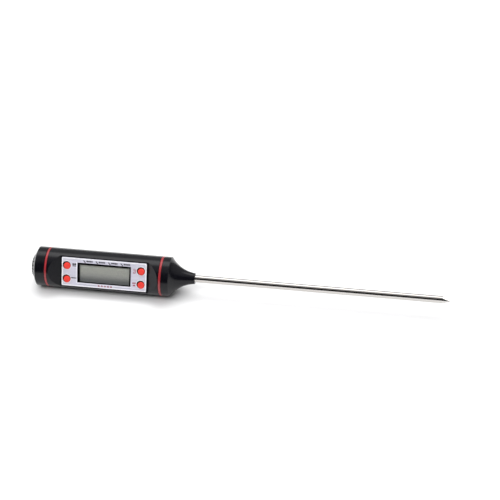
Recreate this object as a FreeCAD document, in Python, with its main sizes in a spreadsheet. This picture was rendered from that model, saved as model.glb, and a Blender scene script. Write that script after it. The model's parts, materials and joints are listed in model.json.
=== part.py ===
import FreeCAD, Part

import math
import os
import re

import Sketcher
from FreeCAD import Placement, Rotation, Vector

# Pen-type digital probe thermometer, lying on a bench, in millimetres.
#
# Row frame: +X runs along the barrel to the probe's tip, +Z is up, and the origin is on the
# bench below the middle of the length. Every piece is drawn in the barrel frame instead:
# X is the distance from the rear end along the barrel's axis, Z is the distance from the axis
# out through the display panel, and Y runs across the panel. One placement carries that frame
# into the row frame, turned about the axis so that the panel faces up and to the -Y side.

# The driving dimensions. Each one is a cell of the sheet, with its name as the alias.
SIZES = {
    # barrel
    "barrel_diameter": 22.0,
    "barrel_length": 62.9,
    "barrel_wall": 2.0,
    "bore_depth": 2.5,          # round bore at the rear mouth, before the flat-topped cavity
    "socket_wall": 3.0,         # wall round the nose's socket at the front mouth
    "socket_depth": 3.0,
    "edge_break": 0.15,         # chamfer on the visible round edges
    "band_crown": 0.25,         # how far each coloured band bulges, up to the barrel's surface
    "root_sink": 0.3,           # how far rails and thread ridges reach into the wall behind them
    "roll_angle": 64.5,         # panel normal from straight up, about the axis
    # display panel
    "panel_depth": 4.4,         # from the barrel's surface down to the flat
    "panel_wall": 1.2,
    "panel_offset": 7.0,        # from the barrel's rear edge to the flat
    "panel_length": 49.6,
    "rear_ramp": 6.0,
    "front_ramp": 5.8,
    "label_end_border": 0.85,   # bare flat left past each end of the label
    "label_side_border": 0.65,
    "label_thickness": 0.4,
    "label_corner": 0.5,
    "key_zone": 9.9,            # label length kept for keys past each end of the window
    "window_side": 3.2,         # label width kept above and below the window, on average
    "window_drop": 0.64,        # display window's middle below the panel's middle
    "window_frame_end": 1.05,   # black frame seen through the lens round the window
    "window_frame_side": 0.8,
    "label_window_drop": 0.15,
    "lens_margin": 0.75,        # how far the lens reaches under the label's window edge
    "lens_thickness": 0.55,
    # keys
    "key_diameter": 3.8,
    "key_gap": 0.35,            # all round the key in its hole
    "key_inset": 3.0,           # key's centre from the label's end
    "key_pitch": 7.7,           # across the panel
    "key_drop": 0.4,            # keys' middle below the panel's middle
    "key_stand": 0.7,           # above the label
    "key_rounding": 0.55,
    "key_flange_lip": 0.35,     # how far the flange reaches past the hole's edge
    "key_flange_thickness": 0.6,
    "key_travel": 0.5,
    # circuit board and switches
    "board_thickness": 1.0,
    "board_side_gap": 0.55,
    "board_rear_gap": 0.3,
    "board_front_gap": 2.75,
    "rail_height": 0.8,
    "rail_depth": 1.6,
    "blob_diameter": 8.0,
    "blob_height": 1.3,
    "component_width": 1.2,
    "component_length": 2.0,
    "component_height": 0.6,
    "crystal_diameter": 1.9,
    "crystal_length": 6.0,
    "crystal_offset": 5.6,      # across the board from its middle
    "switch_side": 4.5,
    "switch_height": 2.1,
    "switch_cover_thickness": 0.3,
    "switch_floor": 0.6,
    "switch_well_diameter": 3.2,
    "contact_thickness": 0.1,
    "plunger_diameter": 2.0,
    "plunger_collar_diameter": 2.7,
    # liquid crystal display
    "carrier_key_gap": 0.35,    # between the carrier's end and the nearest key's flange
    "carrier_side": 0.5,
    "carrier_floor": 1.8,
    "glass_end": 1.2,           # how far the glass reaches past the display window
    "glass_side": 1.55,
    "glass_depth": 0.4,         # front film's face below the carrier's top
    "glass_thickness": 0.55,
    "film_thickness": 0.2,
    "contact_ledge": 1.8,       # strip of the front glass left clear for the connector
    "connector_width": 1.3,
    "connector_inset": 1.25,    # connector's end from the glass's end
    "screw_diameter": 1.2,
    "screw_head_diameter": 2.2,
    "screw_head_height": 0.5,
    "screw_length": 2.6,
    "screw_side": 2.2,          # screw's centre from the carrier's long edge
    # battery end
    "cap_length": 8.65,
    "cap_taper": 2.8,
    "end_disc_diameter": 12.0,
    "end_disc_thickness": 0.2,
    "end_dome": 0.25,
    "rib_count": 24.0,
    "rib_groove_width": 0.75,
    "rib_groove_rise": 2.2,     # how far the grooves run up the taper, in radius
    "rib_groove_depth": 0.45,
    "coin_slot_width": 1.2,
    "coin_slot_length": 6.0,
    "coin_slot_depth": 0.8,
    "rear_band_width": 1.2,
    "neck_length": 3.5,
    "neck_wall": 1.4,
    "cap_boss_diameter": 8.0,
    "cap_floor": 2.4,
    "cap_floor_cone": 1.2,      # the hollow neck narrows by this towards the cap's floor
    "thread_lead": 1.6,
    "thread_depth": 0.5,
    "thread_root_width": 0.8,
    "thread_crest_width": 0.4,
    "thread_runout": 0.6,       # from the last ridge's middle to the neck's end
    "cell_diameter": 11.6,
    "cell_thickness": 5.4,
    "cell_step": 0.8,
    "cell_shoulder": 0.8,       # the negative face is smaller than the can by this, in radius
    "cell_edge": 0.3,
    "cell_roof": 0.8,           # from the cell up to the panel's inside face
    "holder_wall": 0.5,
    "contact_plate_diameter": 8.0,
    "contact_plate_thickness": 0.2,
    "contact_strip_width": 1.5,
    "contact_slot_gap": 0.2,    # each side of the strip in the holder's slot
    "contact_rise_inset": 0.5,  # from the board's rear edge to the positive contact's rise
    "contact_tab_lap": 1.0,     # how far the negative contact's tab lies on the board
    "spring_height": 0.9,
    "spring_span": 6.0,
    "spring_width": 2.5,
    "spring_thickness": 0.2,
    # nose and probe
    "front_band_width": 1.3,
    "nose_land": 4.1,
    "flare_length": 13.45,
    "flare_reach": 15.3,        # from the shoulder to the station of the flare's centre
    "collar_wall": 1.05,
    "collar_chamfer": 0.2,
    "spigot_wall": 1.4,
    "seal_groove_width": 1.1,
    "seal_thickness": 0.9,
    "nose_hollow_depth": 2.0,   # straight part of the hollow past the nose's rear edge
    "tube_seat": 10.0,          # tube length held in the nose
    "probe_length": 145.1,      # tube and tip outside the nose
    "tube_diameter": 4.0,
    "tube_wall": 0.3,
    "tube_neck_step": 0.2,      # the seated end is drawn down by this, in radius
    "tip_length": 9.4,
    "tip_taper": 0.3,           # the round blank narrows by this, in radius, over the tip
    "tip_flat": 0.2,            # from the axis to each facet at the very point
    "tip_plug_length": 4.0,
    "tip_turn": 52.0,           # turn of the first facet from the panel's side
    "bead_diameter": 1.7,
    "bead_length": 2.6,
    "bead_taper": 0.6,
    "bead_neck_diameter": 1.0,
    "bead_nose_diameter": 0.7,
    "lead_diameter": 0.7,
    "lead_spacing": 0.9,
    "lead_bend": 9.5,
    "lead_straight": 1.0,       # from the tube's end to the bend
    "lead_lap": 1.5,            # bare board left past the lead's end
    "potting_length": 6.0,
    # clearances
    "fit_gap": 0.05,            # pieces that only locate each other
    "slide_gap": 0.1,           # pieces that are slid or dropped in
    "holder_gap": 0.15,
    "neck_gap": 0.15,
    "thread_gap": 0.12,
}

# Stations along the axis, and heights and radii that several pieces share.
RADIUS = "(barrel_diameter / 2)"
BORE_RADIUS = f"({RADIUS} - barrel_wall)"
BARREL_START = "(cap_length + rear_band_width)"
CAVITY_START = f"({BARREL_START} + bore_depth)"
BARREL_END = f"({BARREL_START} + barrel_length)"
CAVITY_END = f"({BARREL_END} - socket_depth)"
NOSE_START = f"({BARREL_END} + front_band_width)"
NOSE_SHOULDER = f"({NOSE_START} + nose_land)"
FLARE_END = f"({NOSE_SHOULDER} + flare_length)"
NOSE_END = f"({FLARE_END} + collar_chamfer)"
TIP_POINT = f"({NOSE_END} + probe_length)"
TIP_START = f"({TIP_POINT} - tip_length)"
TUBE_START = f"({NOSE_END} - tube_seat)"

PANEL_START = f"({BARREL_START} + panel_offset)"
PANEL_END = f"({PANEL_START} + panel_length)"
PANEL_MIDDLE = f"({PANEL_START} + panel_length / 2)"
PANEL_HEIGHT = f"({RADIUS} - panel_depth)"
PANEL_INSIDE = f"({PANEL_HEIGHT} - panel_wall)"
LABEL_TOP = f"({PANEL_HEIGHT} + label_thickness)"
LABEL_LENGTH = "(panel_length - 2 * label_end_border)"
FLAT_HALF_WIDTH = f"sqrt({RADIUS} * {RADIUS} - {PANEL_HEIGHT} * {PANEL_HEIGHT})"
LABEL_WIDTH = f"(2 * {FLAT_HALF_WIDTH} - 2 * label_side_border)"
WINDOW_LENGTH = f"({LABEL_LENGTH} - 2 * key_zone)"
WINDOW_WIDTH = f"({LABEL_WIDTH} - 2 * window_side)"
LABEL_WINDOW_LENGTH = f"({WINDOW_LENGTH} + 2 * window_frame_end)"
LABEL_WINDOW_WIDTH = f"({WINDOW_WIDTH} + 2 * window_frame_side)"
LENS_FLOOR = f"({PANEL_HEIGHT} - lens_thickness)"
LENS_LENGTH = f"({LABEL_WINDOW_LENGTH} + 2 * lens_margin)"
LENS_WIDTH = f"({LABEL_WINDOW_WIDTH} + 2 * lens_margin)"

KEY_OFFSET = f"({LABEL_LENGTH} / 2 - key_inset)"
KEY_HOLE = "(key_diameter + 2 * key_gap)"
KEY_FLANGE = f"({KEY_HOLE} + 2 * key_flange_lip)"
KEY_TOP = f"({LABEL_TOP} + key_stand)"
FLANGE_TOP = f"({PANEL_INSIDE} - fit_gap)"
KEY_FLOOR = f"({FLANGE_TOP} - key_flange_thickness)"

GLASS_LENGTH = f"({WINDOW_LENGTH} + 2 * glass_end)"
GLASS_WIDTH = f"({WINDOW_WIDTH} + 2 * glass_side)"
CARRIER_LENGTH = f"(2 * {KEY_OFFSET} - {KEY_FLANGE} - 2 * carrier_key_gap)"
CARRIER_WIDTH = f"({GLASS_WIDTH} + 2 * carrier_side)"
CARRIER_TOP = f"({PANEL_INSIDE} - slide_gap)"
POLARISER_FLOOR = f"({CARRIER_TOP} - glass_depth - film_thickness)"
FRONT_GLASS_FLOOR = f"({POLARISER_FLOOR} - glass_thickness)"
REAR_GLASS_FLOOR = f"({FRONT_GLASS_FLOOR} - glass_thickness)"
STACK_FLOOR = f"({REAR_GLASS_FLOOR} - film_thickness)"
BOARD_TOP = f"({STACK_FLOOR} - carrier_floor)"
BOARD_FLOOR = f"({BOARD_TOP} - board_thickness)"
CONNECTOR_Y = f"(-{GLASS_WIDTH} / 2 + contact_ledge / 2)"
CONNECTOR_LENGTH = f"({GLASS_LENGTH} - 2 * connector_inset)"
SCREW_X = f"(({GLASS_LENGTH} + {CARRIER_LENGTH}) / 4)"
SCREW_Y = f"({CARRIER_WIDTH} / 2 - screw_side)"
WELL_FLOOR = f"({BOARD_TOP} + switch_floor)"
COVER_FLOOR = f"({BOARD_TOP} + switch_height - switch_cover_thickness)"

NECK_RADIUS = f"({BORE_RADIUS} - neck_gap)"
NECK_INSIDE = f"({NECK_RADIUS} - neck_wall)"
NECK_END = "(cap_length + neck_length)"
CREST_RADIUS = f"({NECK_RADIUS} + thread_depth)"
THREAD_START = f"({BARREL_START} + thread_root_width)"
THREAD_TRAVEL = f"({NECK_END} - thread_runout - {THREAD_START})"
HOLDER_END = f"({PANEL_MIDDLE} - {KEY_OFFSET} - {KEY_FLANGE} / 2 - slide_gap)"
HOLDER_FLOOR = f"({HOLDER_END} - holder_wall)"
SPRING_END = f"({HOLDER_FLOOR} - contact_plate_thickness)"
CELL_END = f"({SPRING_END} - spring_height)"
CELL_START = f"({CELL_END} - cell_thickness)"
CELL_DROP = f"(cell_diameter / 2 + cell_roof - {PANEL_INSIDE})"
BOARD_START = f"({HOLDER_END} + board_rear_gap)"
BOARD_END = f"({CAVITY_END} - board_front_gap)"
BOARD_CHORD = f"(2 * sqrt({BORE_RADIUS} * {BORE_RADIUS} - {BOARD_TOP} * {BOARD_TOP}))"
BOARD_WIDTH = f"({BOARD_CHORD} - 2 * board_side_gap)"

SOCKET_DIAMETER = "(barrel_diameter - 2 * socket_wall)"
SPIGOT_RADIUS = f"({SOCKET_DIAMETER} / 2 - slide_gap)"
SPIGOT_START = f"({CAVITY_END} + 2 * slide_gap)"
SEAL_X = f"(({SPIGOT_START} + {BARREL_END}) / 2)"
TUBE_RADIUS = "(tube_diameter / 2)"
TUBE_INSIDE = f"({TUBE_RADIUS} - tube_wall)"
TUBE_NECK = f"({TUBE_RADIUS} - tube_neck_step)"
PLUG_START = f"({TIP_START} - tip_plug_length)"
BEAD_X = f"({PLUG_START} - bead_length / 2 - slide_gap)"
LEAD_END = f"({BEAD_X} - bead_length / 2)"

NEAR = 0.01                     # two places closer than this are the same
THROUGH = "barrel_diameter"     # longer than any cut across the barrel has to be
OVERRUN = 1.2                   # share by which a ramp's cut is carried on past the surface

# Chip components under the board: stations as shares of the way to the carrier's screws, and
# distances across the board.
COMPONENT_SHARES = (-0.72, -0.54, 0.48, 0.66, 0.84)
COMPONENT_ROWS = (-3.2, 2.4)

doc = FreeCAD.newDocument("ProbeThermometer")
sheet = doc.addObject("Spreadsheet::Sheet", "Sizes")
pieces = []


def fill_sheet():
    """One row per driving dimension: its name, and its value under that alias."""
    for row, (name, value) in enumerate(SIZES.items(), start=1):
        sheet.set(f"A{row}", name)
        sheet.set(f"B{row}", str(value))
        sheet.setAlias(f"B{row}", name)
    doc.recompute()


def formula(text):
    """Point each size's name in a formula at its cell."""
    return re.sub(r"[a-z_]+", lambda word: cell(word.group()), str(text))


def cell(word):
    return f"Sizes.{word}" if word in SIZES else word


def value(text):
    """The number that a formula gives."""
    return float(sheet.evalExpression(formula(text)))


def bind(obj, **sizes):
    """Bind properties of an object to formulas."""
    for name, text in sizes.items():
        obj.setExpression(name, formula(text))


def bind_base(obj, x="0", y="0", z="0"):
    """Bind an object's place inside its own body or compound to formulas."""
    for name, text in (("x", x), ("y", y), ("z", z)):
        obj.setExpression(f"Placement.Base.{name}", formula(text))


def place(obj, x="0", y="0", z="0"):
    """Carry the barrel frame into the row frame, for a piece whose own origin is at x, y, z."""
    obj.Placement = Placement(Vector(), Rotation(Vector(1, 0, 0), value("roll_angle")))
    obj.setExpression("Placement.Rotation.Angle", formula("roll_angle"))
    bind_base(
        obj,
        f"{x} - {TIP_POINT} / 2",
        f"({y}) * cos(roll_angle) - ({z}) * sin(roll_angle)",
        f"{RADIUS} + ({y}) * sin(roll_angle) + ({z}) * cos(roll_angle)",
    )


def register(obj, label):
    """Give a finished piece its name and list it for export."""
    obj.Label = label
    pieces.append(obj)


def new_body(label, x="0", y="0", z="0"):
    body = doc.addObject("PartDesign::Body", label)
    body.AllowCompound = True
    place(body, x, y, z)
    register(body, label)
    return body


def origin_part(body, role):
    return next(item for item in body.Origin.OriginFeatures if item.Role == role)


def new_sketch(body, plane, offset="0"):
    """A sketch on one of the body's own planes, moved along that plane's normal."""
    sketch = body.newObject("Sketcher::SketchObject", "Sketch")
    sketch.AttachmentSupport = [(origin_part(body, plane), "")]
    sketch.MapMode = "FlatFace"
    sketch.setExpression("AttachmentOffset.Base.z", formula(offset))
    return sketch


def pin(sketch, index, end, point):
    """Fix one end of a curve at a point given by two formulas."""
    for direction, axis, text in (("DistanceX", -2, point[0]), ("DistanceY", -1, point[1])):
        if text == "0":
            sketch.addConstraint(Sketcher.Constraint("PointOnObject", index, end, axis))
            continue
        rule = Sketcher.Constraint(direction, -1, 1, index, end, value(text))
        number = sketch.addConstraint(rule)
        sketch.setExpression(f"Constraints[{number}]", formula(text))


def curve(start, stop, centre):
    """A line, or an arc about a centre. A centre's third item is 1 for anticlockwise."""
    first = Vector(value(start[0]), value(start[1]), 0)
    last = Vector(value(stop[0]), value(stop[1]), 0)
    if centre is None:
        return Part.LineSegment(first, last)
    middle = Vector(value(centre[0]), value(centre[1]), 0)
    angles = [math.atan2(end.y - middle.y, end.x - middle.x) for end in (first, last)]
    if centre[2] < 0:
        angles.reverse()
    circle = Part.Circle(middle, Vector(0, 0, 1), first.distanceToPoint(middle))
    return Part.ArcOfCircle(circle, *angles)


def draw(sketch, points, arcs=None, closed=True):
    """Draw an outline through points, with arcs on the edges that are listed by number."""
    arcs = arcs or {}
    count = len(points) if closed else len(points) - 1
    start_index = sketch.GeometryCount
    ends = []
    for number in range(count):
        start, stop = points[number], points[(number + 1) % len(points)]
        centre = arcs.get(number)
        index = sketch.addGeometry(curve(start, stop, centre))
        ends.append((1, 2) if centre is None or centre[2] > 0 else (2, 1))
        if centre is not None:
            across = f"({start[0]} - {centre[0]})"
            up = f"({start[1]} - {centre[1]})"
            radius = f"sqrt({across} * {across} + {up} * {up})"
            rule = sketch.addConstraint(Sketcher.Constraint("Radius", index, value(radius)))
            sketch.setExpression(f"Constraints[{rule}]", formula(radius))
    for number in range(count):
        index = start_index + number
        pin(sketch, index, ends[number][0], points[number])
        follower = (number + 1) % count
        if closed or follower:
            rule = ("Coincident", index, ends[number][1], start_index + follower, ends[follower][0])
            sketch.addConstraint(Sketcher.Constraint(*rule))
    if not closed:
        pin(sketch, start_index + count - 1, ends[-1][1], points[-1])
    return sketch


def draw_circle(sketch, x, y, diameter):
    """A circle whose centre and diameter are given by formulas."""
    centre = Vector(value(x), value(y), 0)
    circle = Part.Circle(centre, Vector(0, 0, 1), value(diameter) / 2)
    index = sketch.addGeometry(circle)
    pin(sketch, index, 3, (x, y))
    rule = sketch.addConstraint(Sketcher.Constraint("Diameter", index, value(diameter)))
    sketch.setExpression(f"Constraints[{rule}]", formula(diameter))
    return sketch


def box_points(x, y, length, width):
    """The corners of a rectangle about a centre."""
    left, right = f"({x} - {length} / 2)", f"({x} + {length} / 2)"
    low, high = f"({y} - {width} / 2)", f"({y} + {width} / 2)"
    return [(left, low), (right, low), (right, high), (left, high)]


def revolve(body, points, arcs=None, axis="X_Axis"):
    """Turn an outline, drawn as station and radius, about one of the body's axes."""
    feature = body.newObject("PartDesign::Revolution", "Revolution")
    feature.Profile = draw(new_sketch(body, "XZ_Plane"), points, arcs)
    feature.ReferenceAxis = (origin_part(body, axis), [""])
    feature.Angle = 360
    return feature


def groove(body, points):
    """Cut an outline out all the way round the body's X axis."""
    feature = body.newObject("PartDesign::Groove", "Groove")
    feature.Profile = draw(new_sketch(body, "XZ_Plane"), points)
    feature.ReferenceAxis = (origin_part(body, "X_Axis"), [""])
    feature.Angle = 360
    return feature


def extrude(body, kind, sketch, length, direction=1):
    """Pad or pocket a sketch along its normal, against it, or both ways when direction is 0."""
    feature = body.newObject(f"PartDesign::{kind}", kind)
    feature.Profile = sketch
    feature.SideType = "Symmetric" if direction == 0 else "One side"
    points_back = direction < 0
    feature.Reversed = points_back if kind == "Pad" else not points_back
    bind(feature, Length=length)
    return feature


def pad(body, sketch, length, direction=1):
    return extrude(body, "Pad", sketch, length, direction)


def pocket(body, sketch, length, direction=1):
    return extrude(body, "Pocket", sketch, length, direction)


def fillet(body, feature, edges, radius):
    """Round edges of the last feature. Edges are picked by a test on the edge."""
    doc.recompute()
    names = [f"Edge{i}" for i, edge in enumerate(feature.Shape.Edges, start=1) if edges(edge)]
    rounding = body.newObject("PartDesign::Fillet", "Fillet")
    rounding.Base = (feature, names)
    bind(rounding, Radius=radius)
    return rounding


def slab(label, x, y, length, width, floor, thickness):
    """A rectangular plate that lies parallel to the panel."""
    body = new_body(label)
    sketch = draw(new_sketch(body, "XY_Plane", floor), box_points(x, y, length, width))
    pad(body, sketch, thickness)
    return body


def key_places():
    """Centres of the four keys, as formulas."""
    columns = {"rear": f"({PANEL_MIDDLE} - {KEY_OFFSET})", "front": f"({PANEL_MIDDLE} + {KEY_OFFSET})"}
    rows = {"upper": "(key_pitch / 2 - key_drop)", "lower": "(-key_pitch / 2 - key_drop)"}
    return {(end, row): (columns[end], rows[row]) for end in columns for row in rows}


# ---------------------------------------------------------------- barrel and panel


def flat_topped(radius, top):
    """Points and arc of a circle about the axis that is cut off level at a height."""
    half = f"sqrt({radius} * {radius} - {top} * {top})"
    points = [(f"(-{half})", top), (half, top)]
    return points, {1: ("0", "0", -1)}


def make_barrel():
    body = new_body("housing_barrel")
    chamfered = f"({RADIUS} - edge_break)"
    revolve(body, [
        (BARREL_START, "0"), (BARREL_START, chamfered), (f"({BARREL_START} + edge_break)", RADIUS),
        (f"({BARREL_END} - edge_break)", RADIUS), (BARREL_END, chamfered), (BARREL_END, "0"),
    ])
    # The flat and its two ramps, cut right across and carried on past the barrel's surface.
    rise = f"({PANEL_HEIGHT} + {OVERRUN} * ({RADIUS} - {PANEL_HEIGHT}))"
    cut = draw(new_sketch(body, "XZ_Plane"), [
        (PANEL_START, PANEL_HEIGHT), (PANEL_END, PANEL_HEIGHT),
        (f"({PANEL_END} + {OVERRUN} * front_ramp)", rise),
        (f"({PANEL_START} - {OVERRUN} * rear_ramp)", rise),
    ])
    pocket(body, cut, f"2 * {THROUGH}", 0)
    bore = draw_circle(new_sketch(body, "YZ_Plane", BARREL_START), "0", "0", f"(2 * {BORE_RADIUS})")
    pocket(body, bore, "bore_depth")
    points, arcs = flat_topped(BORE_RADIUS, PANEL_INSIDE)
    cavity = draw(new_sketch(body, "YZ_Plane", CAVITY_START), points, arcs)
    pocket(body, cavity, f"{CAVITY_END} - {CAVITY_START}")
    socket = draw_circle(new_sketch(body, "YZ_Plane", CAVITY_END), "0", "0", SOCKET_DIAMETER)
    pocket(body, socket, "socket_depth")
    add_rails(body)
    cut_panel_openings(body)
    cut_thread_groove(body)


def add_rails(body):
    """Two rails inside the barrel that carry the circuit board's long edges."""
    for side in ("-1", "1"):
        inner = f"({side} * ({BOARD_WIDTH} / 2 - rail_depth / 2))"
        outer = f"({side} * ({BORE_RADIUS} + root_sink))"
        sketch = draw(new_sketch(body, "YZ_Plane", BOARD_START), [
            (inner, f"({BOARD_FLOOR} - rail_height)"), (outer, f"({BOARD_FLOOR} - rail_height)"),
            (outer, BOARD_FLOOR), (inner, BOARD_FLOOR),
        ])
        pad(body, sketch, f"{BOARD_END} - {BOARD_START}")


def cut_panel_openings(body):
    """The lens recess, the display window through it and the four key holes."""
    recess = new_sketch(body, "XY_Plane", PANEL_HEIGHT)
    draw(recess, box_points(
        PANEL_MIDDLE, "(-label_window_drop)",
        f"({LENS_LENGTH} + 2 * slide_gap)", f"({LENS_WIDTH} + 2 * slide_gap)",
    ))
    pocket(body, recess, "lens_thickness", -1)
    openings = new_sketch(body, "XY_Plane", PANEL_HEIGHT)
    draw(openings, box_points(PANEL_MIDDLE, "(-window_drop)", WINDOW_LENGTH, WINDOW_WIDTH))
    for x, y in key_places().values():
        draw_circle(openings, x, y, KEY_HOLE)
    pocket(body, openings, "panel_wall", -1)


def cut_thread_groove(body):
    """One start of internal thread, open at the rear mouth so that the cap can leave."""
    half_root = "(thread_root_width / 2 + thread_gap)"
    half_crest = "(thread_crest_width / 2 + thread_gap)"
    x = f"({THREAD_START} - thread_lead)"
    low, high = f"({BORE_RADIUS} - root_sink)", f"({CREST_RADIUS} + thread_gap)"
    helix = body.newObject("PartDesign::SubtractiveHelix", "Helix")
    helix.Profile = draw(new_sketch(body, "XZ_Plane"), [
        (f"({x} - {half_root})", low), (f"({x} + {half_root})", low),
        (f"({x} + {half_crest})", high), (f"({x} - {half_crest})", high),
    ])
    helix.ReferenceAxis = (origin_part(body, "X_Axis"), [""])
    helix.Mode = "pitch-height-angle"
    bind(helix, Pitch="thread_lead", Height=f"thread_lead + {THREAD_TRAVEL} + 2 * thread_gap")


def make_face_label():
    """Printed panel plate with a window for the lens and holes for the keys."""
    body = new_body("face_label")
    sketch = new_sketch(body, "XY_Plane", PANEL_HEIGHT)
    draw(sketch, box_points(PANEL_MIDDLE, "0", LABEL_LENGTH, LABEL_WIDTH))
    draw(sketch, box_points(
        PANEL_MIDDLE, "(-label_window_drop)", LABEL_WINDOW_LENGTH, LABEL_WINDOW_WIDTH
    ))
    for x, y in key_places().values():
        draw_circle(sketch, x, y, KEY_HOLE)
    plate = pad(body, sketch, "label_thickness")
    half_length = value(LABEL_LENGTH) / 2

    def is_corner(edge):
        ends = edge.Vertexes
        upright = len(ends) == 2 and not math.isclose(ends[0].Z, ends[1].Z, abs_tol=NEAR)
        return upright and abs(edge.CenterOfMass.x - value(PANEL_MIDDLE)) > half_length - NEAR

    fillet(body, plate, is_corner, "label_corner")


def make_lens():
    slab(
        "display_lens", PANEL_MIDDLE, "(-label_window_drop)", LENS_LENGTH, LENS_WIDTH,
        LENS_FLOOR, "lens_thickness",
    )


# ---------------------------------------------------------------- keys and switches


def make_key(label, x, y):
    """A round key with a flange that keeps it behind the panel."""
    body = new_body(label, x, y)
    cap, flange = "(key_diameter / 2)", f"({KEY_FLANGE} / 2)"
    rounded = f"({KEY_TOP} - key_rounding)"
    revolve(body, [
        ("0", KEY_FLOOR), (flange, KEY_FLOOR), (flange, FLANGE_TOP), (cap, FLANGE_TOP),
        (cap, rounded), (f"({cap} - key_rounding)", KEY_TOP), ("0", KEY_TOP),
    ], {4: (f"({cap} - key_rounding)", rounded, 1)}, "Z_Axis")


def make_plunger(label, x, y):
    """The switch plunger that the key bears on, with a collar under the switch's cover."""
    body = new_body(label, x, y)
    foot = f"({WELL_FLOOR} + contact_thickness + key_travel + fit_gap)"
    collar_top = f"({COVER_FLOOR} - slide_gap)"
    stem, collar = "(plunger_diameter / 2)", "(plunger_collar_diameter / 2)"
    revolve(body, [
        ("0", foot), (collar, foot), (collar, collar_top), (stem, collar_top),
        (stem, KEY_FLOOR), ("0", KEY_FLOOR),
    ], axis="Z_Axis")


def make_switches():
    """Four switch bodies, their covers and their contact discs, each kind as one group."""
    bodies = new_body("switch_bodies")
    covers = new_body("switch_covers")
    contacts = new_body("switch_contacts")
    squares = new_sketch(bodies, "XY_Plane", BOARD_TOP)
    lids = new_sketch(covers, "XY_Plane", COVER_FLOOR)
    discs = new_sketch(contacts, "XY_Plane", WELL_FLOOR)
    for x, y in key_places().values():
        draw(squares, box_points(x, y, "switch_side", "switch_side"))
        draw(lids, box_points(x, y, "switch_side", "switch_side"))
        draw_circle(lids, x, y, "(plunger_diameter + 2 * slide_gap)")
        draw_circle(discs, x, y, "(switch_well_diameter - 2 * slide_gap)")
    pad(bodies, squares, f"{COVER_FLOOR} - {BOARD_TOP}")
    pad(covers, lids, "switch_cover_thickness")
    pad(contacts, discs, "contact_thickness")
    wells = new_sketch(bodies, "XY_Plane", COVER_FLOOR)
    for x, y in key_places().values():
        draw_circle(wells, x, y, "switch_well_diameter")
    pocket(bodies, wells, f"{COVER_FLOOR} - {WELL_FLOOR}", -1)


# ---------------------------------------------------------------- display and board


def make_carrier():
    """Frame that stands on the board and holds the display glass under the window."""
    body = slab(
        "lcd_carrier", PANEL_MIDDLE, "0", CARRIER_LENGTH, CARRIER_WIDTH,
        BOARD_TOP, f"{CARRIER_TOP} - {BOARD_TOP}",
    )
    well = new_sketch(body, "XY_Plane", CARRIER_TOP)
    draw(well, box_points(
        PANEL_MIDDLE, "0", f"({GLASS_LENGTH} + 2 * slide_gap)", f"({GLASS_WIDTH} + 2 * slide_gap)"
    ))
    pocket(body, well, f"{CARRIER_TOP} - {STACK_FLOOR}", -1)
    slot = new_sketch(body, "XY_Plane", STACK_FLOOR)
    draw(slot, box_points(
        PANEL_MIDDLE, CONNECTOR_Y,
        f"({CONNECTOR_LENGTH} + 2 * slide_gap)", "(connector_width + slide_gap)",
    ))
    pocket(body, slot, "carrier_floor", -1)
    holes = new_sketch(body, "XY_Plane", BOARD_TOP)
    for x, y in screw_places():
        draw_circle(holes, x, y, "screw_diameter")
    pocket(body, holes, "screw_length - board_thickness + fit_gap")


def screw_places():
    """Centres of the four screws that hold the carrier down, as formulas."""
    stations = [f"({PANEL_MIDDLE} {sign} {SCREW_X})" for sign in "-+"]
    rows = [f"({sign} * {SCREW_Y})" for sign in ("-1", "1")]
    return [(x, y) for x in stations for y in rows]


def make_display_stack():
    """Reflector, two glasses and front film, lying on each other in the carrier."""
    film_length = f"({GLASS_LENGTH} - 2 * slide_gap)"
    film_width = f"({GLASS_WIDTH} - 2 * slide_gap)"
    rear_width = f"({GLASS_WIDTH} - contact_ledge)"
    rear_y = "(contact_ledge / 2)"
    slab(
        "lcd_reflector", PANEL_MIDDLE, rear_y, film_length, f"({rear_width} - 2 * slide_gap)",
        STACK_FLOOR, "film_thickness",
    )
    slab(
        "lcd_rear_glass", PANEL_MIDDLE, rear_y, GLASS_LENGTH, rear_width,
        REAR_GLASS_FLOOR, "glass_thickness",
    )
    slab(
        "lcd_front_glass", PANEL_MIDDLE, "0", GLASS_LENGTH, GLASS_WIDTH,
        FRONT_GLASS_FLOOR, "glass_thickness",
    )
    slab(
        "lcd_front_polariser", PANEL_MIDDLE, "0", film_length, film_width,
        POLARISER_FLOOR, "film_thickness",
    )
    slab(
        "zebra_strip", PANEL_MIDDLE, CONNECTOR_Y, CONNECTOR_LENGTH, "connector_width",
        BOARD_TOP, f"{FRONT_GLASS_FLOOR} - {BOARD_TOP}",
    )


def make_board():
    body = new_body("circuit_board")
    sketch = new_sketch(body, "XY_Plane", BOARD_FLOOR)
    centre = f"(({BOARD_START} + {BOARD_END}) / 2)"
    draw(sketch, box_points(centre, "0", f"({BOARD_END} - {BOARD_START})", BOARD_WIDTH))
    for x, y in screw_places():
        draw_circle(sketch, x, y, "(screw_diameter + 2 * slide_gap)")
    pad(body, sketch, "board_thickness")


def make_screws():
    """Self-tapping screws put in from under the board."""
    body = new_body("carrier_screws")
    heads = new_sketch(body, "XY_Plane", f"({BOARD_FLOOR} - screw_head_height)")
    shanks = new_sketch(body, "XY_Plane", BOARD_FLOOR)
    for x, y in screw_places():
        draw_circle(heads, x, y, "screw_head_diameter")
        draw_circle(shanks, x, y, "screw_diameter")
    pad(body, heads, "screw_head_height")
    pad(body, shanks, "screw_length")


def make_chip_blob():
    """Domed resin cap over the bare chip, under the board."""
    body = new_body("chip_blob", PANEL_MIDDLE, "0", BOARD_FLOOR)
    radius = "(blob_diameter / 2)"
    centre = f"(({radius} * {radius} - blob_height * blob_height) / (2 * blob_height))"
    revolve(
        body, [("0", "0"), (radius, "0"), ("0", "(-blob_height)")],
        {1: ("0", centre, -1)}, "Z_Axis",
    )


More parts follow.
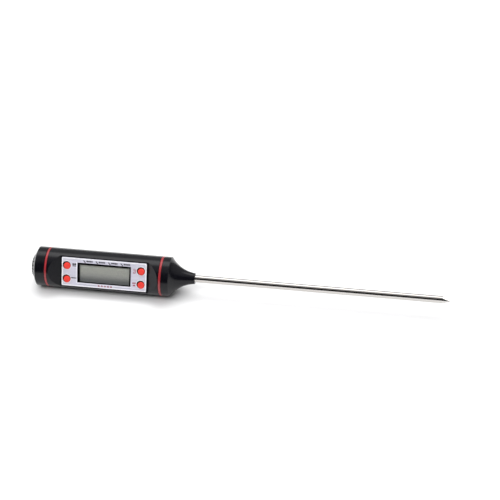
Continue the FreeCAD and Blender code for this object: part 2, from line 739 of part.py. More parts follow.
def make_chip_components():
    """Surface-mounted resistors and capacitors under the board, one group of solids."""
    body = new_body("chip_components")
    sketch = new_sketch(body, "XY_Plane", BOARD_FLOOR)
    for share in COMPONENT_SHARES:
        x = f"({PANEL_MIDDLE} + {share} * {SCREW_X})"
        for row in COMPONENT_ROWS:
            draw(sketch, box_points(x, f"({row})", "component_width", "component_length"))
    pad(body, sketch, "component_height", -1)


def make_crystal():
    """Can of the clock crystal, lying under the board."""
    radius = "(crystal_diameter / 2)"
    middle = f"({BOARD_FLOOR} - {radius} - fit_gap)"
    start = f"({PANEL_MIDDLE} + blob_diameter / 2)"
    body = new_body("clock_crystal", start, "crystal_offset", middle)
    revolve(body, [("0", "0"), ("0", radius), ("crystal_length", radius), ("crystal_length", "0")])


# ---------------------------------------------------------------- battery end


def make_cap():
    """Screw cap: ribbed end disc, taper, grip land and threaded neck, with a boss for the cell."""
    body = new_body("battery_cap")
    disc = "(end_disc_diameter / 2)"
    taper_start = "(end_disc_thickness + end_dome)"
    shoulder = f"({taper_start} + cap_taper)"
    boss = "(cap_boss_diameter / 2)"
    boss_end = f"({CELL_START} - slide_gap)"
    dome_centre = f"(({disc} * {disc} + end_dome * end_dome) / (2 * end_dome))"
    revolve(body, [
        ("0", "0"), ("end_dome", disc), (taper_start, disc), (shoulder, RADIUS),
        ("(cap_length - edge_break)", RADIUS), ("cap_length", f"({RADIUS} - edge_break)"),
        ("cap_length", NECK_RADIUS), (NECK_END, NECK_RADIUS), (NECK_END, NECK_INSIDE),
        ("cap_floor", f"({NECK_INSIDE} - cap_floor_cone)"), ("cap_floor", boss),
        (boss_end, boss), (boss_end, "0"),
    ], {0: (dome_centre, "0", -1)})
    add_thread(body)
    cut_ribs(body, disc, taper_start)
    slot = new_sketch(body, "YZ_Plane")
    draw(slot, box_points("0", "0", "coin_slot_length", "coin_slot_width"))
    body.Tip = pocket(body, slot, "coin_slot_depth")


def add_thread(body):
    """One start of external thread on the neck, in mesh with the barrel's groove."""
    half_root, half_crest = "(thread_root_width / 2)", "(thread_crest_width / 2)"
    low = f"({NECK_RADIUS} - root_sink)"
    helix = body.newObject("PartDesign::AdditiveHelix", "Helix")
    helix.Profile = draw(new_sketch(body, "XZ_Plane"), [
        (f"({THREAD_START} - {half_root})", low), (f"({THREAD_START} + {half_root})", low),
        (f"({THREAD_START} + {half_crest})", CREST_RADIUS),
        (f"({THREAD_START} - {half_crest})", CREST_RADIUS),
    ])
    helix.ReferenceAxis = (origin_part(body, "X_Axis"), [""])
    helix.Mode = "pitch-height-angle"
    bind(helix, Pitch="thread_lead", Height=THREAD_TRAVEL)


def cut_ribs(body, disc, taper_start):
    """Grooves up the cap's taper from the end disc's rim, which leave the ribs between them."""
    low = f"({disc} - rib_groove_depth)"
    slope = f"(cap_taper / ({RADIUS} - {disc}))"
    turn = f"({taper_start} + rib_groove_depth)"
    far = f"({turn} + rib_groove_rise * {slope})"
    sketch = draw(new_sketch(body, "XZ_Plane"), [
        ("-end_dome", low), (turn, low), (far, f"({low} + rib_groove_rise)"),
        (far, f"(2 * {RADIUS})"), ("-end_dome", f"(2 * {RADIUS})"),
    ])
    first = pocket(body, sketch, "rib_groove_width", 0)
    doc.recompute()
    ribs = body.newObject("PartDesign::PolarPattern", "Ribs")
    ribs.Originals = [first]
    ribs.Axis = (origin_part(body, "X_Axis"), [""])
    ribs.Angle = 360
    bind(ribs, Occurrences="rib_count")
    body.Tip = ribs


def make_ring(label, start, width, inside):
    """A coloured band with a crowned face that comes up to the barrel's surface."""
    body = new_body(label)
    stop = f"({start} + {width})"
    edge = f"({RADIUS} - band_crown)"
    crown = f"(({width} * {width} / 4 + band_crown * band_crown) / (2 * band_crown))"
    centre = (f"({start} + {width} / 2)", f"({RADIUS} - {crown})", -1)
    revolve(body, [(start, inside), (start, edge), (stop, edge), (stop, inside)], {1: centre})


def make_cell():
    """Button cell: can with the smaller negative face towards the probe."""
    body = new_body("button_cell", z=f"(-{CELL_DROP})")
    can, face = "(cell_diameter / 2)", "(cell_diameter / 2 - cell_shoulder)"
    step = f"({CELL_END} - cell_step)"
    revolve(body, [
        (CELL_START, "0"), (CELL_START, f"({can} - cell_edge)"), (f"({CELL_START} + cell_edge)", can),
        (step, can), (step, face), (CELL_END, face), (CELL_END, "0"),
    ])


def make_cell_holder():
    """Flat-topped plug inside the barrel with the cell's pocket and slots for both contacts."""
    body = new_body("cell_holder")
    start = f"({CAVITY_START} + slide_gap)"
    points, arcs = flat_topped(f"({BORE_RADIUS} - holder_gap)", f"({PANEL_INSIDE} - holder_gap)")
    pad(body, draw(new_sketch(body, "YZ_Plane", start), points, arcs), f"{HOLDER_END} - {start}")
    cell = new_sketch(body, "YZ_Plane", start)
    draw_circle(cell, "0", f"(-{CELL_DROP})", "(cell_diameter + 2 * holder_gap)")
    pocket(body, cell, f"{HOLDER_FLOOR} - {start}")
    side_slot = new_sketch(body, "YZ_Plane", start)
    draw(side_slot, box_points(
        "(-cell_diameter / 2 - contact_plate_thickness / 2)", f"(-{CELL_DROP})",
        "(contact_plate_thickness + 2 * contact_slot_gap)", "(contact_strip_width + 2 * slide_gap)",
    ))
    pocket(body, side_slot, f"{HOLDER_END} - {start}")
    tab_slot = new_sketch(body, "YZ_Plane", HOLDER_FLOOR)
    draw(tab_slot, box_points(
        "0", f"({BOARD_TOP} + contact_plate_thickness / 2)",
        "(contact_strip_width + 2 * slide_gap)", "(contact_plate_thickness + 2 * slide_gap)",
    ))
    pocket(body, tab_slot, "holder_wall")


def make_negative_contact():
    """Plate behind the spring, with a tab that runs out on top of the board."""
    body = new_body("negative_contact")
    disc = new_sketch(body, "YZ_Plane", SPRING_END)
    draw_circle(disc, "0", f"(-{CELL_DROP})", "contact_plate_diameter")
    pad(body, disc, "contact_plate_thickness")
    tab = new_sketch(body, "YZ_Plane", SPRING_END)
    draw(tab, box_points(
        "0", f"({BOARD_TOP} + contact_plate_thickness / 2)",
        "contact_strip_width", "contact_plate_thickness",
    ))
    pad(body, tab, f"{BOARD_START} + contact_tab_lap - {SPRING_END}")


def make_negative_spring():
    """Bowed leaf that stands on the contact plate and pushes the cell back against the cap."""
    body = new_body("negative_spring", z=f"(-{CELL_DROP})")
    half, rise = "(spring_span / 2)", "(spring_height - fit_gap)"
    radius = f"(({half} * {half} + {rise} * {rise}) / (2 * {rise}))"
    depth = f"({radius} - {rise})"
    under = f"({radius} - spring_thickness)"
    inner = f"sqrt({under} * {under} - {depth} * {depth})"
    centre_x = f"({SPRING_END} + {depth})"
    leaf = draw(new_sketch(body, "XZ_Plane"), [
        (SPRING_END, f"(-{half})"), (SPRING_END, half), (SPRING_END, inner), (SPRING_END, f"(-{inner})"),
    ], {0: (centre_x, "0", -1), 2: (centre_x, "0", 1)})
    pad(body, leaf, "spring_width", 0)


def make_positive_contact():
    """Strip along the cell's side that turns up to the board's underside."""
    body = new_body("positive_contact")
    y = "(-cell_diameter / 2 - contact_plate_thickness / 2)"
    start = f"({CAVITY_START} + 2 * slide_gap)"
    strip = new_sketch(body, "YZ_Plane", start)
    draw(strip, box_points(y, f"(-{CELL_DROP})", "contact_plate_thickness", "contact_strip_width"))
    stop = f"({BOARD_START} + contact_strip_width)"
    pad(body, strip, f"{stop} - {start}")
    rise = new_sketch(body, "XZ_Plane", f"(-{y} - contact_plate_thickness / 2)")
    low = f"(-{CELL_DROP} - contact_strip_width / 2)"
    inset = f"({BOARD_START} + contact_rise_inset)"
    draw(rise, [(inset, low), (stop, low), (stop, BOARD_FLOOR), (inset, BOARD_FLOOR)])
    pad(body, rise, "contact_plate_thickness")


# ---------------------------------------------------------------- nose and probe


def make_nose():
    """Flared nose with a spigot for the barrel, a seal groove and the tube's seat."""
    body = new_body("nose_cone")
    collar = f"({TUBE_RADIUS} + collar_wall)"
    rest = "(flare_reach - flare_length)"
    drop = f"({RADIUS} - {collar})"
    bulge = f"((flare_reach * flare_reach - {rest} * {rest}) / (2 * {drop}))"
    centre_x = f"({NOSE_SHOULDER} + flare_reach)"
    centre_r = f"(({RADIUS} + {collar}) / 2 + {bulge})"
    hollow = f"({SPIGOT_RADIUS} - spigot_wall)"
    seat = f"({TUBE_NECK} + fit_gap / 2)"
    hollow_end = f"({NOSE_START} + nose_hollow_depth)"
    revolve(body, [
        (SPIGOT_START, hollow), (SPIGOT_START, SPIGOT_RADIUS), (NOSE_START, SPIGOT_RADIUS),
        (NOSE_START, f"({RADIUS} - edge_break)"), (f"({NOSE_START} + edge_break)", RADIUS),
        (NOSE_SHOULDER, RADIUS), (FLARE_END, collar), (NOSE_END, f"({collar} - collar_chamfer)"),
        (NOSE_END, seat), (TUBE_START, seat), (hollow_end, hollow),
    ], {5: (centre_x, centre_r, 1)})
    half = "(seal_groove_width / 2)"
    floor = f"({SPIGOT_RADIUS} - seal_thickness)"
    groove(body, [
        (f"({SEAL_X} - {half})", floor), (f"({SEAL_X} + {half})", floor),
        (f"({SEAL_X} + {half})", RADIUS), (f"({SEAL_X} - {half})", RADIUS),
    ])


def make_nose_seal():
    """Sealing ring in the spigot's groove."""
    torus = doc.addObject("Part::Torus", "SealTorus")
    bind(torus, Radius1=f"{SPIGOT_RADIUS} - seal_thickness / 2 + fit_gap")
    bind(torus, Radius2="seal_thickness / 2")
    torus.Placement = Placement(Vector(), Rotation(Vector(0, 1, 0), 90))
    bind_base(torus, SEAL_X)
    ring = doc.addObject("Part::Compound", "SealRing")
    ring.Links = [torus]
    place(ring)
    register(ring, "nose_seal")


def make_tube():
    """Thin tube whose seated end is drawn down, so that its shoulder stops at the nose."""
    body = new_body("probe_tube")
    neck_inside = f"({TUBE_NECK} - tube_wall)"
    step_inside = f"({NOSE_END} + tube_wall)"
    revolve(body, [
        (TUBE_START, neck_inside), (TUBE_START, TUBE_NECK), (NOSE_END, TUBE_NECK),
        (NOSE_END, TUBE_RADIUS), (TIP_START, TUBE_RADIUS), (TIP_START, TUBE_INSIDE),
        (step_inside, TUBE_INSIDE), (step_inside, neck_inside),
    ])


def make_tip():
    """Solid point with three ground facets and a plug that fits the tube."""
    body = doc.addObject("PartDesign::Body", "probe_tip")
    plug = f"({TUBE_INSIDE} - fit_gap / 2)"
    revolve(body, [
        (PLUG_START, "0"), (PLUG_START, plug), (TIP_START, plug), (TIP_START, TUBE_RADIUS),
        (TIP_POINT, f"({TUBE_RADIUS} - tip_taper)"), (TIP_POINT, "0"),
    ])
    above = f"(2 * {TUBE_RADIUS})"
    sketch = draw(new_sketch(body, "XZ_Plane"), [
        (TIP_START, TUBE_RADIUS), (f"({TIP_POINT} + tip_length)", f"(2 * tip_flat - {TUBE_RADIUS})"),
        (f"({TIP_POINT} + tip_length)", above), (TIP_START, above),
    ])
    facet = pocket(body, sketch, f"3 * {TUBE_RADIUS}", 0)
    doc.recompute()
    facets = body.newObject("PartDesign::PolarPattern", "Facets")
    facets.Originals = [facet]
    facets.Axis = (origin_part(body, "X_Axis"), [""])
    facets.Angle = 360
    facets.Occurrences = 3
    body.Tip = facets
    place(body)
    body.setExpression("Placement.Rotation.Angle", formula("roll_angle - tip_turn"))
    register(body, "probe_tip")


def make_bead():
    """Sensor bead just behind the tip's plug."""
    body = new_body("sensor_bead", BEAD_X)
    half, radius = "(bead_length / 2)", "(bead_diameter / 2)"
    revolve(body, [
        (f"(-{half})", "0"), (f"(-{half})", "(bead_neck_diameter / 2)"),
        (f"(bead_taper - {half})", radius), (f"({half} - bead_taper)", radius),
        (half, "(bead_nose_diameter / 2)"), (half, "0"),
    ])


def make_lead(label, side):
    """Insulated wire from the bead, along the tube and up onto the board's front edge."""
    body = new_body(label)
    y = f"({side} * lead_spacing / 2)"
    rise = f"({BOARD_TOP} + lead_diameter / 2)"
    bend_start = f"({TUBE_START} - lead_straight)"
    bend_middle = f"({bend_start} - lead_bend / 2)"
    bend_end = f"({bend_start} - lead_bend)"
    reach = f"((lead_bend * lead_bend / {rise} + {rise}) / 4)"
    path = new_sketch(body, "XZ_Plane", f"(-{y})")
    draw(path, [
        (LEAD_END, "0"), (bend_start, "0"), (bend_middle, f"({rise} / 2)"), (bend_end, rise),
        (f"({BOARD_END} - lead_lap)", rise),
    ], {1: (bend_start, reach, -1), 2: (bend_end, f"({rise} - {reach})", 1)}, closed=False)
    wire = body.newObject("PartDesign::AdditivePipe", "Wire")
    wire.Profile = draw_circle(new_sketch(body, "YZ_Plane", LEAD_END), y, "0", "lead_diameter")
    wire.Spine = (path, [f"Edge{i}" for i in range(1, 5)])


def make_potting():
    """Heat-conducting compound round the leads behind the bead."""
    body = new_body("tip_potting")
    stop = f"({LEAD_END} - slide_gap)"
    start = f"({stop} - potting_length)"
    inside = "(lead_spacing / 2 + lead_diameter / 2 + fit_gap)"
    outside = f"({TUBE_INSIDE} - fit_gap / 2)"
    revolve(body, [(start, inside), (start, outside), (stop, outside), (stop, inside)])


def make_model():
    make_barrel()
    make_face_label()
    make_lens()
    names = {
        ("rear", "upper"): "max_min", ("rear", "lower"): "hold",
        ("front", "upper"): "unit", ("front", "lower"): "power",
    }
    for place_name, (x, y) in key_places().items():
        make_key(f"key_{names[place_name]}", x, y)
        make_plunger(f"plunger_{names[place_name]}", x, y)
    make_switches()
    make_carrier()
    make_display_stack()
    make_board()
    make_screws()
    make_chip_blob()
    make_chip_components()
    make_crystal()
    make_cap()
    neck_inside = f"({NECK_RADIUS} + fit_gap)"
    make_ring("rear_band", "cap_length", "rear_band_width", neck_inside)
    make_ring("front_band", BARREL_END, "front_band_width", f"({SPIGOT_RADIUS} + fit_gap)")
    make_cell()
    make_cell_holder()
    make_negative_contact()
    make_negative_spring()
    make_positive_contact()
    make_nose()
    make_nose_seal()
    make_tube()
    make_tip()
    make_bead()
    make_lead("sensor_lead_a", "1")
    make_lead("sensor_lead_b", "-1")
    make_potting()


def check_model():
    """Stop before anything is written if an object failed or a piece isn't a valid solid."""
    for obj in doc.Objects:
        if "Invalid" in obj.State or "Error" in obj.State:
            raise RuntimeError(f"{obj.Label} failed: {obj.State}")
    for piece in pieces:
        shape = piece.Shape
        if shape.isNull() or not shape.isValid() or not shape.Solids:
            raise RuntimeError(f"{piece.Label} has no valid solid")


def export_pieces():
    os.makedirs("parts", exist_ok=True)
    for piece in pieces:
        piece.Shape.exportStep(f"parts/{piece.Label}.step")
        print(f"{piece.Label}: {len(piece.Shape.Solids)} solid(s), {piece.Shape.Volume:.2f} mm3")


fill_sheet()
make_model()
doc.recompute()
check_model()
export_pieces()
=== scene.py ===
import json
import math

import bmesh
import bpy
from mathutils import Matrix, Vector


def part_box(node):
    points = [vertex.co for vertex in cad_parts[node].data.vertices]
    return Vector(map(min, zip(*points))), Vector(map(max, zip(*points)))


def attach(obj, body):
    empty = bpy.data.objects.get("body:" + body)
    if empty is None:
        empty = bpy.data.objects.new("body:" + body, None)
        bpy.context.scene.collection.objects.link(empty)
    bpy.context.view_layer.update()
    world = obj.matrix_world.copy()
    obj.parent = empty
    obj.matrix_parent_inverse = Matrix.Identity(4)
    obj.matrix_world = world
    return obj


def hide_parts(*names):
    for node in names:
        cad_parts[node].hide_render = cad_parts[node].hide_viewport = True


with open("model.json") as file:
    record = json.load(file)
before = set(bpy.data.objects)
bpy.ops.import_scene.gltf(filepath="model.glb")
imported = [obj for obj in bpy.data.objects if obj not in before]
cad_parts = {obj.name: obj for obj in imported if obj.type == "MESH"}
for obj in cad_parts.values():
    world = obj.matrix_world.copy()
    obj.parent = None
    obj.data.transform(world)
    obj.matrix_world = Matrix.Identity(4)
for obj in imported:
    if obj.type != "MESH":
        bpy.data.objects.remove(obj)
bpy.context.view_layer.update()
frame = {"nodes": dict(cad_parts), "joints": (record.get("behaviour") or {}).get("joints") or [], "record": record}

MM = 0.001

# ---------------------------------------------------------------- where things are

AXIS_HEIGHT = sum(corner.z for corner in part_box("nose_cone")) / 2


def press_axis():
    """Unit vector into the panel: the direction in which every key is pressed."""
    joint = next(j for j in frame["joints"] if j["name"] == "power_press")
    return Vector(joint["axis"]).normalized()


OUTWARD = -press_axis()
ALONG = Vector((1, 0, 0))
ACROSS = OUTWARD.cross(ALONG)


def extent(node, direction):
    """Lowest and highest place of a node along a direction, measured from the barrel's axis."""
    axis_point = Vector((0, 0, AXIS_HEIGHT))
    places = [(v.co - axis_point).dot(direction) for v in frame["nodes"][node].data.vertices]
    return min(places), max(places)


def middle(pair):
    return (pair[0] + pair[1]) / 2


PANEL_X = middle(extent("face_label", ALONG))
LABEL_LENGTH = 2 * (extent("face_label", ALONG)[1] - PANEL_X)
LABEL_WIDTH = 2 * extent("face_label", ACROSS)[1]
LABEL_FLOOR, LABEL_TOP = extent("face_label", OUTWARD)
LENS_MARGIN = 0.75 * MM         # how far the lens reaches under the label, all round
KEY_HOLE_RADIUS = 2.32 * MM
HOLE_SHIFT = (-0.20 * MM, 0.14 * MM)    # the label's holes from the housing's, along and across
# width of the painted highlight round each key hole
HOLE_BORDER = 0.3 * MM
KEY_CAP_RADIUS = 1.91 * MM
KEY_CAP_SHIFT = (0.07 * MM, -0.12 * MM)     # how loosely the keys lie in their holes
KEY_ROUNDING = 0.5 * MM
KEY_DOME = 0.1 * MM
LABEL_CORNER = 0.5 * MM
LABEL_BEVEL = 0.09 * MM
PRINT_THICKNESS = 0.02 * MM
WELD_DISTANCE = 0.001 * MM
SHARP_ANGLE = math.radians(40)
ROUND_STEPS = 64
KEY_SHOULDER_STEPS = 8
KEY_DOME_STEPS = 6


def panel_matrix():
    """From the panel's own frame, centred on the label, to the row frame."""
    turn = Matrix((ALONG, ACROSS, OUTWARD)).transposed().to_4x4()
    return Matrix.Translation((PANEL_X, 0, AXIS_HEIGHT)) @ turn


# ---------------------------------------------------------------- outlines and plates


def circle(x, y, radius, steps=ROUND_STEPS):
    turns = [2 * math.pi * i / steps for i in range(steps)]
    return [(x + radius * math.cos(t), y + radius * math.sin(t)) for t in turns]


def rectangle(x, y, length, width):
    """Corners of a rectangle about its middle."""
    a, b = length / 2, width / 2
    return [(x - a, y - b), (x + a, y - b), (x + a, y + b), (x - a, y + b)]


def rounded_rectangle(x, y, length, width, corner, steps=8):
    points = []
    centres = rectangle(x, y, length - 2 * corner, width - 2 * corner)
    for number, (cx, cy) in enumerate(centres):
        for i in range(steps + 1):
            turn = math.pi * (1 + number / 2 + i / steps / 2)
            points.append((cx + corner * math.cos(turn), cy + corner * math.sin(turn)))
    return points


def slanted_bar(x, y, length, width, slant):
    """A bar whose top edge is moved along by slant."""
    corners = rectangle(x, y, length, width)
    shift = (-slant / 2, -slant / 2, slant / 2, slant / 2)
    return [(px + move, py) for (px, py), move in zip(corners, shift)]


def plate(name, outlines, floor, top, bevel=0.0):
    """A flat piece parallel to the panel. Outlines inside other outlines are openings."""
    curve = bpy.data.curves.new(name + "_outline", "CURVE")
    curve.dimensions = "2D"
    curve.fill_mode = "BOTH"
    curve.extrude = (top - floor) / 2 - bevel
    curve.bevel_depth = bevel
    curve.bevel_resolution = 2
    curve.offset = -bevel
    for points in outlines:
        spline = curve.splines.new("POLY")
        spline.points.add(len(points) - 1)
        for target, (x, y) in zip(spline.points, points):
            target.co = (x, y, 0, 1)
        spline.use_cyclic_u = True
    shape = bpy.data.objects.new(name + "_outline", curve)
    bpy.context.scene.collection.objects.link(shape)
    bpy.context.view_layer.update()
    solid = shape.evaluated_get(bpy.context.evaluated_depsgraph_get())
    mesh = bpy.data.meshes.new_from_object(solid)
    bpy.data.objects.remove(shape)
    mesh.name = name
    mesh.transform(panel_matrix() @ Matrix.Translation((0, 0, (top + floor) / 2)))
    close_mesh(mesh)
    piece = bpy.data.objects.new(name, mesh)
    bpy.context.scene.collection.objects.link(piece)
    return piece


def close_mesh(mesh):
    """Join the flat faces to the edges, and keep sharp corners sharp in the shading."""
    shape = bmesh.new()
    shape.from_mesh(mesh)
    bmesh.ops.remove_doubles(shape, verts=shape.verts, dist=WELD_DISTANCE)
    bmesh.ops.recalc_face_normals(shape, faces=shape.faces)
    shape.to_mesh(mesh)
    shape.free()
    mesh.polygons.foreach_set("use_smooth", [True] * len(mesh.polygons))
    mesh.set_sharp_from_angle(angle=SHARP_ANGLE)


def finished(piece, material, body="handle"):
    """Give a new piece its material and the body that it rides on."""
    piece.data.materials.clear()
    piece.data.materials.append(material)
    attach(piece, body)
    return piece


# ---------------------------------------------------------------- materials


class Shader:
    """A Principled material and the few node chains that the finishes here are made of."""

    def __init__(self, name):
        self.material = bpy.data.materials.new(name)
        self.material.use_nodes = True
        self.tree = self.material.node_tree
        self.main = self.tree.nodes["Principled BSDF"]
        self.place = self.node("ShaderNodeTexCoord").outputs["Object"]

    def node(self, kind, **settings):
        made = self.tree.nodes.new(kind)
        for name, value in settings.items():
            setattr(made, name, value)
        return made

    def link(self, source, target):
        self.tree.links.new(source, target)

    def noise(self, scale, detail=3.0, stretch=(1, 1, 1)):
        """Noise with so many cells to the metre, drawn out where stretch is below 1."""
        mapping = self.node("ShaderNodeMapping")
        mapping.inputs["Scale"].default_value = stretch
        self.link(self.place, mapping.inputs["Vector"])
        noise = self.node("ShaderNodeTexNoise")
        noise.inputs["Scale"].default_value = scale
        noise.inputs["Detail"].default_value = detail
        self.link(mapping.outputs["Vector"], noise.inputs["Vector"])
        return noise.outputs["Fac"]

    def gradient(self, direction, low, high):
        """0 at one place along a direction and 1 at another, measured from the barrel's axis."""
        start = Vector((0, 0, AXIS_HEIGHT)).dot(direction)
        dot = self.node("ShaderNodeVectorMath", operation="DOT_PRODUCT")
        dot.inputs[1].default_value = direction
        self.link(self.place, dot.inputs[0])
        return self.spread(dot.outputs["Value"], start + low, start + high, 0, 1)

    def spread(self, source, low, high, to_low, to_high):
        """Carry one range of values into another."""
        spread = self.node("ShaderNodeMapRange")
        for name, value in (("From Min", low), ("From Max", high), ("To Min", to_low), ("To Max", to_high)):
            spread.inputs[name].default_value = value
        self.link(source, spread.inputs["Value"])
        return spread.outputs["Result"]

    def ramp(self, source, stops):
        """Colours along a value, as (place, colour) pairs."""
        ramp = self.node("ShaderNodeValToRGB")
        elements = ramp.color_ramp.elements
        while len(elements) < len(stops):
            elements.new(0.5)
        for element, (place, colour) in zip(elements, stops):
            element.position = place
            element.color = (*colour, 1)
        self.link(source, ramp.inputs["Fac"])
        return ramp.outputs["Color"]

    def multiply(self, first, second):
        """One colour socket times another."""
        mix = self.node("ShaderNodeMix", data_type="RGBA", blend_type="MULTIPLY")
        mix.inputs["Factor"].default_value = 1.0
        self.link(first, mix.inputs[6])
        self.link(second, mix.inputs[7])
        return mix.outputs[2]

    def bump(self, height, depth):
        bump = self.node("ShaderNodeBump")
        bump.inputs["Distance"].default_value = depth
        self.link(height, bump.inputs["Height"])
        self.link(bump.outputs["Normal"], self.main.inputs["Normal"])

    def set(self, **constants):
        for name, value in constants.items():
            self.main.inputs[name.replace("_", " ")].default_value = value


PATCH = 0.35        # noise values run from about this to one less this


def surface(name, dark, light, rough, patch_scale, grain_scale, grain_depth, stretch=(1, 1, 1), **constants):
    """A finish with broad colour drift, and a fine grain in its roughness and relief."""
    shader = Shader(name)
    drift = shader.noise(patch_scale, stretch=stretch)
    grain = shader.noise(grain_scale, detail=2.0, stretch=stretch)
    colour = shader.ramp(drift, [(PATCH, dark), (1 - PATCH, light)])
    shader.link(colour, shader.main.inputs["Base Color"])
    roughness = shader.spread(grain, PATCH, 1 - PATCH, *rough)
    shader.link(roughness, shader.main.inputs["Roughness"])
    shader.bump(grain, grain_depth)
    shader.set(**constants)
    return shader


def black_plastic():
    """Moulded black plastic with a slight cool cast and a fine satin texture."""
    return surface(
        "black_plastic", (0.0035, 0.0035, 0.0055), (0.0055, 0.0055, 0.008), (0.15, 0.23),
        patch_scale=120, grain_scale=7000, grain_depth=0.003 * MM, Specular_IOR_Level=0.27,
    ).material


def red_band_plastic():
    return surface(
        "red_band_plastic", (0.30, 0.020, 0.026), (0.37, 0.028, 0.036), (0.24, 0.34),
        patch_scale=300, grain_scale=6000, grain_depth=0.004 * MM, Specular_IOR_Level=0.6,
    ).material


def key_plastic():
    """Satin red keys, darkened by painted shade below the label's face, in the gap round each key."""
    shader = surface(
        "key_plastic", (0.80, 0.048, 0.036), (0.86, 0.062, 0.048), (0.38, 0.50),
        patch_scale=500, grain_scale=9000, grain_depth=0.004 * MM, Specular_IOR_Level=0.35,
    )
    red = shader.main.inputs["Base Color"].links[0].from_socket
    # painted shade: near-black below the label's face, in the gap round each key
    rise = shader.gradient(OUTWARD, LABEL_FLOOR, LABEL_TOP)
    painted_shade = shader.ramp(rise, [(0.45, (0.02, 0.02, 0.02)), (1.0, (1, 1, 1))])
    shader.link(shader.multiply(red, painted_shade), shader.main.inputs["Base Color"])
    return shader.material


def label_film():
    """Silver-lilac printed film, drawn along its length."""
    return surface(
        "label_film", (0.62, 0.61, 0.71), (0.68, 0.67, 0.78), (0.34, 0.46),
        patch_scale=900, grain_scale=9000, grain_depth=0.0015 * MM, stretch=(0.05, 1, 1),
        Metallic=0.12, Specular_IOR_Level=0.4,
    ).material


# near-white paint for the painted highlights along the label's edges, key holes and window
def painted_edge_highlight():
    return surface(
        "painted_edge_highlight", (0.93, 0.93, 0.96), (0.97, 0.97, 0.99), (0.34, 0.46),
        patch_scale=900, grain_scale=9000, grain_depth=0.001 * MM, Specular_IOR_Level=0.4,
    ).material


def grey_ink():
    return surface(
        "grey_ink", (0.018, 0.018, 0.026), (0.032, 0.032, 0.042), (0.45, 0.60),
        patch_scale=2500, grain_scale=12000, grain_depth=0.001 * MM,
    ).material


def hairline_ink():
    return surface(
        "hairline_ink", (0.34, 0.34, 0.42), (0.40, 0.40, 0.48), (0.45, 0.60),
        patch_scale=2500, grain_scale=12000, grain_depth=0.001 * MM,
    ).material


def red_ink():
    return surface(
        "red_ink", (0.27, 0.012, 0.035), (0.34, 0.020, 0.045), (0.45, 0.60),
        patch_scale=2500, grain_scale=12000, grain_depth=0.001 * MM,
    ).material


def probe_steel():
    """Stainless steel polished along the probe, with faint warm drift."""
    return surface(
        "probe_steel", (0.55, 0.52, 0.50), (0.61, 0.59, 0.57), (0.10, 0.16),
        patch_scale=260, grain_scale=5200, grain_depth=0.0001 * MM, stretch=(0.03, 1, 1),
        Metallic=1.0,
    ).material


def tip_steel():
    """The ground point: brighter, with grinding marks across it."""
    return surface(
        "tip_steel", (0.62, 0.60, 0.58), (0.70, 0.685, 0.67), (0.12, 0.20),
        patch_scale=900, grain_scale=7000, grain_depth=0.0002 * MM, stretch=(1, 0.1, 0.1),
        Metallic=1.0,
    ).material


def lcd_film():
    """Grey-green polariser, with painted shade that darkens it towards its lower edge."""
    shader = Shader("lcd_film")
    low, high = extent("lcd_front_polariser", ACROSS)
    # painted shade: the film goes darker towards the window's lower edge
    rise = shader.gradient(ACROSS, low, high)
    painted_shade = shader.ramp(rise, [
        (0.17, (0.36, 0.36, 0.36)), (0.36, (0.72, 0.705, 0.665)),
        (0.50, (0.86, 0.845, 0.775)), (0.90, (0.90, 0.885, 0.80)),
    ])
    drift = shader.ramp(shader.noise(700), [(PATCH, (0.94, 0.94, 0.95)), (1 - PATCH, (1, 1, 1))])
    shader.link(shader.multiply(painted_shade, drift), shader.main.inputs["Base Color"])
    grain = shader.noise(9000)
    shader.link(shader.spread(grain, PATCH, 1 - PATCH, 0.40, 0.50), shader.main.inputs["Roughness"])
    shader.bump(grain, 0.0008 * MM)
    shader.set(Specular_IOR_Level=0.3)
    return shader.material


def lens_glass():
    """Clear window: see-through, with a mirror sheen that grows at grazing angles."""
    shader = Shader("lens_glass")
    clear = shader.node("ShaderNodeBsdfTransparent")
    clear.inputs["Color"].default_value = (0.97, 0.98, 0.98, 1)
    sheen = shader.node("ShaderNodeBsdfGlossy")
    smear = shader.spread(shader.noise(350), PATCH, 1 - PATCH, 0.03, 0.09)
    shader.link(smear, sheen.inputs["Roughness"])
    fresnel = shader.node("ShaderNodeFresnel")
    fresnel.inputs["IOR"].default_value = 1.45
    both = shader.node("ShaderNodeMixShader")
    shader.link(fresnel.outputs["Fac"], both.inputs["Fac"])
    shader.link(clear.outputs["BSDF"], both.inputs[1])
    shader.link(sheen.outputs["BSDF"], both.inputs[2])
    output = next(n for n in shader.tree.nodes if n.type == "OUTPUT_MATERIAL")
    shader.link(both.outputs["Shader"], output.inputs["Surface"])
    shader.tree.nodes.remove(shader.main)
    return shader.material


# The pieces inside the handle: base colour, roughness and how metallic, by record slot.
INNER_FINISHES = {
    "plunger_tan": ((0.45, 0.30, 0.18), 0.45, 0.0),
    "switch_black": ((0.035, 0.035, 0.037), 0.45, 0.0),
    "switch_steel": ((0.60, 0.60, 0.62), 0.30, 1.0),
    "contact_metal": ((0.75, 0.58, 0.30), 0.25, 1.0),
    "carrier_white": ((0.78, 0.78, 0.76), 0.45, 0.0),
    "lcd_glass": ((0.62, 0.70, 0.66), 0.12, 0.0),
    "lcd_reflector": ((0.60, 0.62, 0.58), 0.40, 0.8),
    "connector_rubber": ((0.52, 0.52, 0.54), 0.70, 0.0),
    "board_green": ((0.025, 0.18, 0.07), 0.35, 0.0),
    "screw_steel": ((0.66, 0.66, 0.68), 0.20, 1.0),
    "resin_black": ((0.015, 0.015, 0.016), 0.20, 0.0),
    "component_body": ((0.25, 0.20, 0.15), 0.50, 0.0),
    "crystal_can": ((0.70, 0.70, 0.72), 0.18, 1.0),
    "cell_steel": ((0.60, 0.60, 0.62), 0.24, 1.0),
    "seal_rubber": ((0.022, 0.022, 0.022), 0.65, 0.0),
    "bead_epoxy": ((0.04, 0.04, 0.05), 0.30, 0.0),
    "lead_insulation": ((0.72, 0.72, 0.70), 0.50, 0.0),
    "potting_white": ((0.76, 0.76, 0.74), 0.60, 0.0),
}
SHADE = 0.82        # the darker colour of an inner finish's drift, as a share of its own


